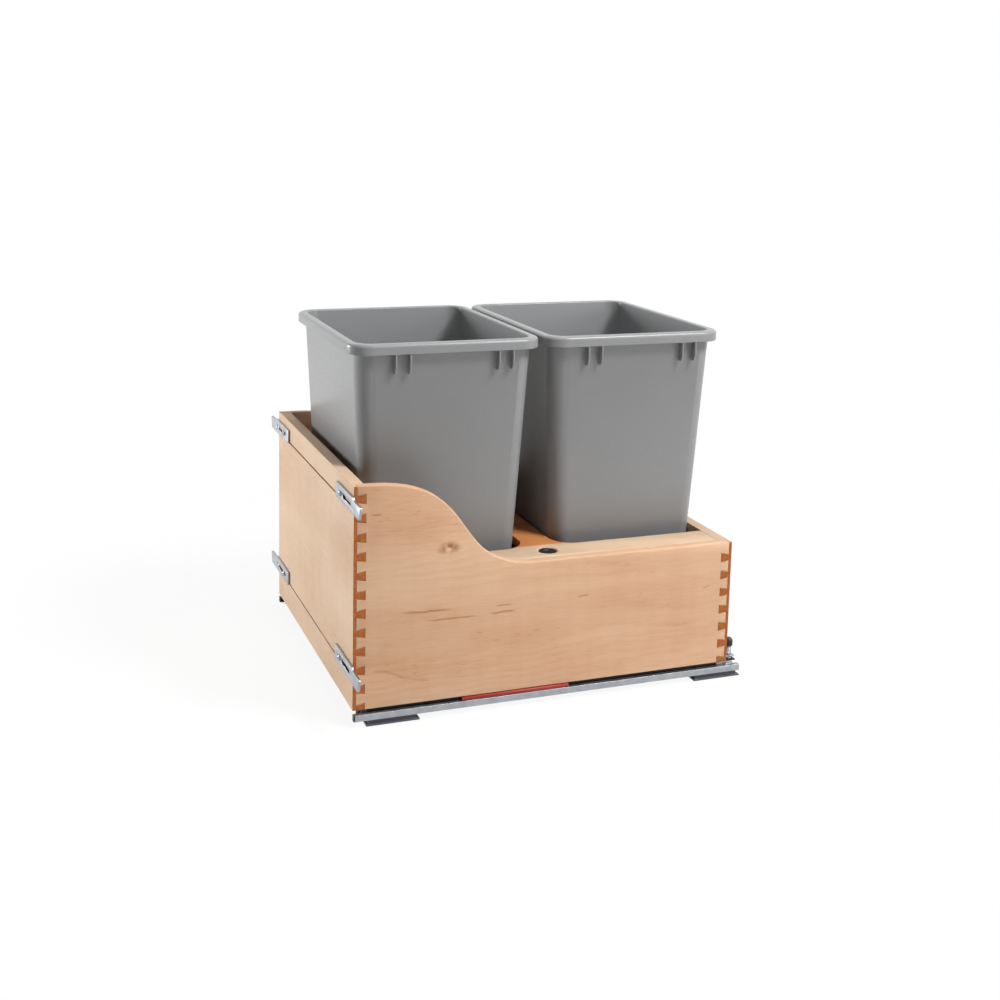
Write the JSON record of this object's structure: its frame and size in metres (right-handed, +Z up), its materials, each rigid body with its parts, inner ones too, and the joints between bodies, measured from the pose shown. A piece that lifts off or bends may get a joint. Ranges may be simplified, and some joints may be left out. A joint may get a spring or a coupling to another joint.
{
  "type": "pull out trash cabinet",
  "caption": "Dovetailed wooden pull-out box with lift-out waste bins, on full-extension undermount slides with brackets for a cabinet door.",
  "frame": {"origin": "middle of the footprint of the outer size, on the cabinet floor", "axes": "+Z up, -Y the front with the door brackets, +X to the right seen from the front"},
  "size_m": [0.5364, 0.577, 0.4908],
  "materials": {
    "maple": "satin clear-coated maple",
    "birch": "satin birch plywood",
    "grey_plastic": "fine matt moulded polypropylene",
    "zinc": "bright zinc-plated sheet",
    "black_steel": "black coated sheet",
    "black_plastic": "moulded nylon",
    "slate_plastic": "moulded nylon",
    "red_plastic": "moulded acetal",
    "white_nylon": "moulded nylon"
  },
  "bodies": {
    "base": {"front_cross_rail": "slate_plastic", "rear_cross_rail": "slate_plastic", "cabinet_member_left": "zinc", "cabinet_member_right": "zinc", "shelf_tip_left": "black_plastic", "shelf_tip_right": "black_plastic", "front_rivet_left": "zinc", "front_rivet_right": "zinc", "rear_rivet_left": "zinc", "rear_rivet_right": "zinc", "damper_left": "red_plastic", "damper_right": "red_plastic"},
    "drawer": {"front_board": "maple", "back_board": "maple", "side_board_left": "maple", "side_board_right": "maple", "floor_panel": "birch", "deck_panel": "maple", "deck_cleat_left": "maple", "deck_cleat_right": "maple", "deck_plug": "black_plastic", "door_bracket_lower_left": "zinc", "door_bracket_lower_right": "zinc", "door_bracket_upper_left": "zinc", "door_bracket_upper_right": "zinc", "bracket_screw_lower_left": "zinc", "bracket_screw_lower_right": "zinc", "bracket_screw_upper_left": "zinc", "bracket_screw_upper_right": "zinc", "drawer_member_left": "black_steel", "drawer_member_right": "black_steel", "front_cap_left": "black_plastic", "front_cap_right": "black_plastic", "rear_guide_left": "white_nylon", "rear_guide_right": "white_nylon", "lock_body_left": "slate_plastic", "lock_body_right": "slate_plastic", "lock_pin_left": "zinc", "lock_pin_right": "zinc", "adjuster_bracket_left": "zinc", "adjuster_bracket_right": "zinc", "adjuster_stud_left": "zinc", "adjuster_stud_right": "zinc"},
    "intermediate_left": {"intermediate_member_left": "zinc"},
    "lower_carriage_left": {"lower_carriage_left": "white_nylon"},
    "upper_carriage_left": {"upper_carriage_left": "white_nylon"},
    "lock_lever_left": {"lock_lever_left": "slate_plastic"},
    "tilt_knob_left": {"tilt_knob_left": "black_plastic"},
    "intermediate_right": {"intermediate_member_right": "zinc"},
    "lower_carriage_right": {"lower_carriage_right": "white_nylon"},
    "upper_carriage_right": {"upper_carriage_right": "white_nylon"},
    "lock_lever_right": {"lock_lever_right": "slate_plastic"},
    "tilt_knob_right": {"tilt_knob_right": "black_plastic"},
    "front_bin": {"front_bin": "grey_plastic"},
    "rear_bin": {"rear_bin": "grey_plastic"}
  },
  "joints": [
    {"name": "drawer_slide", "type": "slide", "parent": "base", "child": "drawer", "axis": [0, -1, 0], "range_m": [0, 0.533]},
    {"name": "intermediate_slide_left", "type": "slide", "parent": "base", "child": "intermediate_left", "axis": [0, -1, 0], "range_m": [0, 0.2666]},
    {"name": "lower_carriage_slide_left", "type": "slide", "parent": "base", "child": "lower_carriage_left", "axis": [0, -1, 0], "range_m": [0, 0.1333]},
    {"name": "upper_carriage_slide_left", "type": "slide", "parent": "base", "child": "upper_carriage_left", "axis": [0, -1, 0], "range_m": [0, 0.3999]},
    {"name": "intermediate_slide_right", "type": "slide", "parent": "base", "child": "intermediate_right", "axis": [0, -1, 0], "range_m": [0, 0.2666]},
    {"name": "lower_carriage_slide_right", "type": "slide", "parent": "base", "child": "lower_carriage_right", "axis": [0, -1, 0], "range_m": [0, 0.1333]},
    {"name": "upper_carriage_slide_right", "type": "slide", "parent": "base", "child": "upper_carriage_right", "axis": [0, -1, 0], "range_m": [0, 0.3999]},
    {"name": "front_bin_lift", "type": "slide", "parent": "drawer", "child": "front_bin", "axis": [0, 0, 1], "range_m": [0, 0.46]},
    {"name": "rear_bin_lift", "type": "slide", "parent": "drawer", "child": "rear_bin", "axis": [0, 0, 1], "range_m": [0, 0.46]},
    {"name": "lock_lever_squeeze_left", "type": "hinge", "parent": "drawer", "child": "lock_lever_left", "pos_m": [-0.1693, -0.24045, 0.019], "axis": [0, 0, 1], "range_deg": [0, 15], "stiffness_Nm_per_rad": 0.05},
    {"name": "tilt_knob_turn_left", "type": "hinge", "parent": "drawer", "child": "tilt_knob_left", "pos_m": [-0.216, 0.27805, 0.0398], "axis": [0, 0, 1], "range_deg": [-360, 360]},
    {"name": "lock_lever_squeeze_right", "type": "hinge", "parent": "drawer", "child": "lock_lever_right", "pos_m": [0.1693, -0.24045, 0.019], "axis": [0, 0, -1], "range_deg": [0, 15], "stiffness_Nm_per_rad": 0.05},
    {"name": "tilt_knob_turn_right", "type": "hinge", "parent": "drawer", "child": "tilt_knob_right", "pos_m": [0.216, 0.27805, 0.0398], "axis": [0, 0, 1], "range_deg": [-360, 360]}
  ],
  "couplings": [
    {"joint": "intermediate_slide_left", "follows": "drawer_slide", "ratio": 0.5},
    {"joint": "lower_carriage_slide_left", "follows": "drawer_slide", "ratio": 0.25},
    {"joint": "upper_carriage_slide_left", "follows": "drawer_slide", "ratio": 0.75},
    {"joint": "intermediate_slide_right", "follows": "drawer_slide", "ratio": 0.5},
    {"joint": "lower_carriage_slide_right", "follows": "drawer_slide", "ratio": 0.25},
    {"joint": "upper_carriage_slide_right", "follows": "drawer_slide", "ratio": 0.75}
  ]
}
